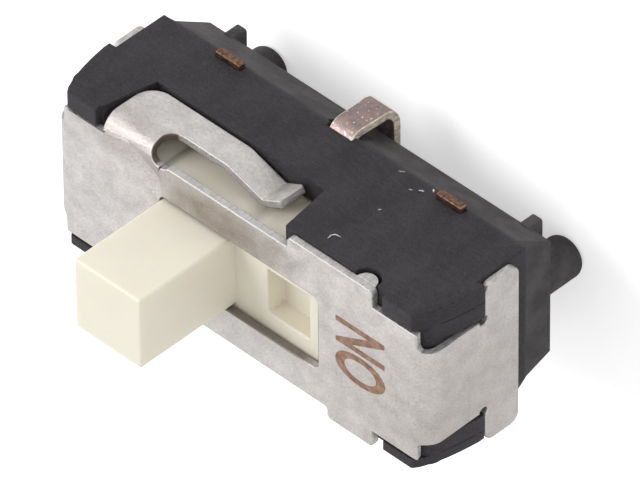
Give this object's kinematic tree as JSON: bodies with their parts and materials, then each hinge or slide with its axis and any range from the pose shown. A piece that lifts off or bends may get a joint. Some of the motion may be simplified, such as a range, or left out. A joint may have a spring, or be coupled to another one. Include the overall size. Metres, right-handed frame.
{
  "type": "slide switch",
  "caption": "Board-mounted slide switch with a square knob in a windowed sheet cover, a side detent spring, a moulded base, hooked solder leads and locating pegs.",
  "frame": {"origin": "middle of the seating plane on the board, between the two locating pegs", "axes": "+X is the way the knob slides from its rest position, +Y is the side that the detent spring faces, +Z leaves the board towards the knob"},
  "size_m": [0.0086, 0.0038, 0.0062],
  "materials": {
    "moulded_base": "matt black glass-filled moulding",
    "cover_steel": "dull rolled stainless sheet, bright at the folds",
    "knob_plastic": "cream moulding, satin",
    "contact_metal": "spring copper alloy",
    "lead_metal": "tinned copper alloy, bare at the cut edges"
  },
  "bodies": {
    "case": {"housing": "moulded_base", "cover": "cover_steel", "common_terminal": "lead_metal", "left_terminal": "lead_metal", "right_terminal": "lead_metal"},
    "slide": {"slider": "knob_plastic", "moving_contact": "contact_metal"}
  },
  "joints": [
    {"name": "knob_slide", "type": "slide", "parent": "case", "child": "slide", "axis": [1, 0, 0], "range_m": [0, 0.002]}
  ]
}
